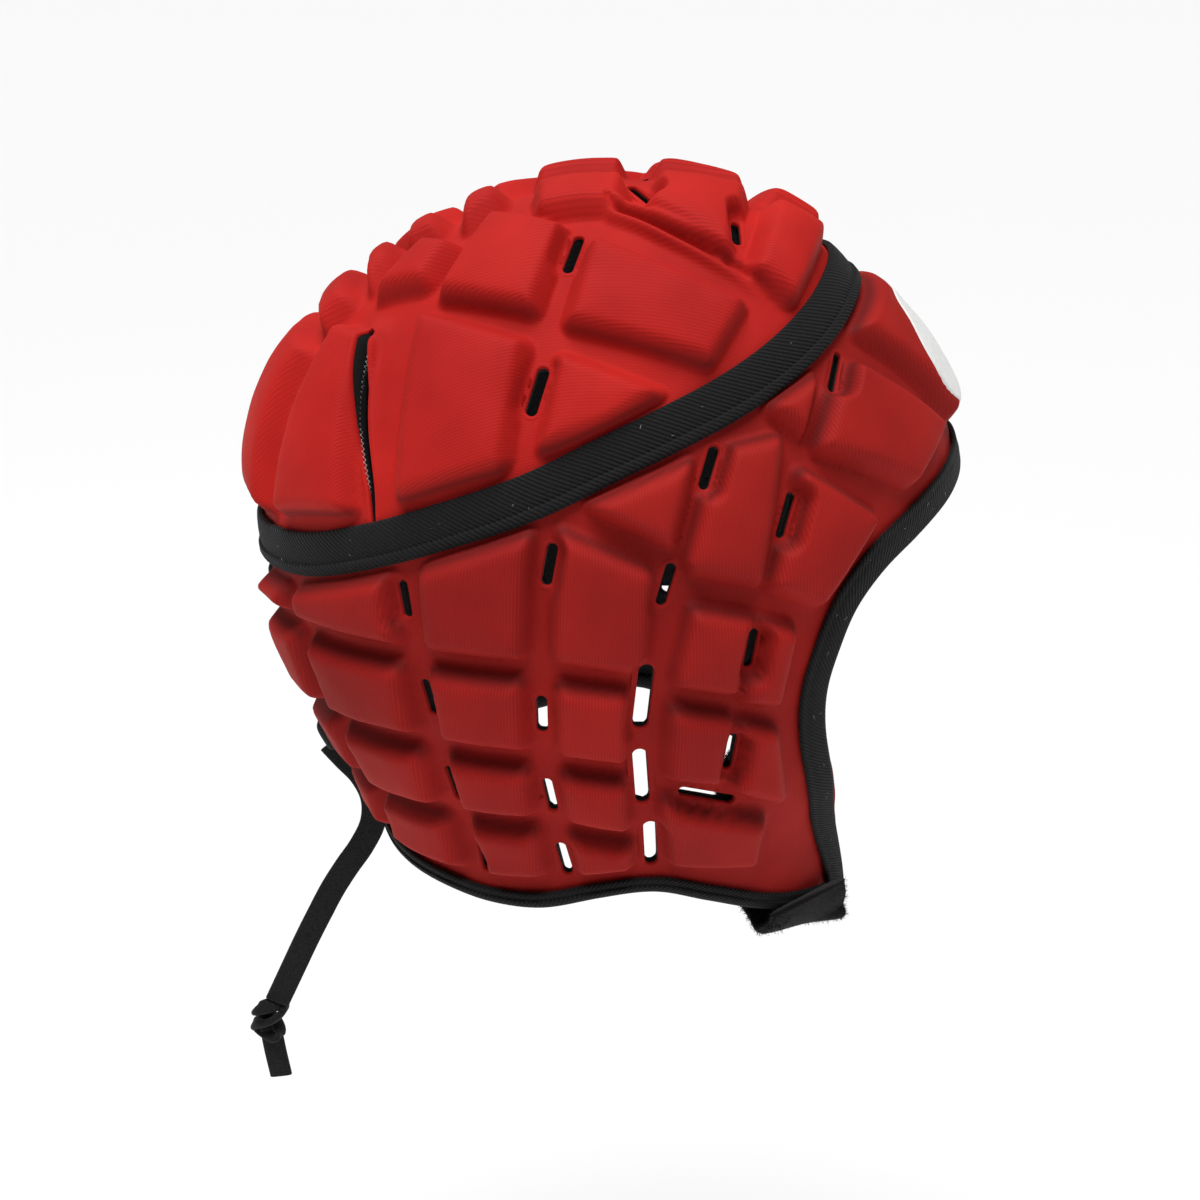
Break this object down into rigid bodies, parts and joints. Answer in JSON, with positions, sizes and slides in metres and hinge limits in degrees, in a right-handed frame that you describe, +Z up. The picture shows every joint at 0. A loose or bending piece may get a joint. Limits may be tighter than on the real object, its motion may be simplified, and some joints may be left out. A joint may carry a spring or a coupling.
{
  "type": "padded rugby scrum cap, worn over a head",
  "caption": "Close-fitting red head guard of padded, vented foam with black tape, bound edges, a chin strap and a laced back.",
  "frame": {"origin": "inside apex of the crown, where the cap rests on top of a head", "axes": "+X towards the face opening, +Y to the wearer's left, +Z up"},
  "size_m": [0.2292, 0.1756, 0.3164],
  "materials": {
    "red_knit_foam": "matt stretch knit bonded to foam",
    "black_twill_tape": "woven twill tape",
    "black_brushed_loop": "brushed loop pile",
    "black_lace": "flat braided lace"
  },
  "bodies": {
    "root": {"crown_panel": "red_knit_foam", "lower_panel": "red_knit_foam", "seam_tape": "black_twill_tape", "face_binding": "black_twill_tape", "hem_binding_right": "black_twill_tape", "hem_binding_left": "black_twill_tape", "chin_strap": "black_brushed_loop", "lace_bar_1": "black_lace", "lace_bar_2": "black_lace", "lace_bar_3": "black_lace", "back_lace": "black_lace", "lace_knot": "black_lace"}
  },
  "joints": []
}
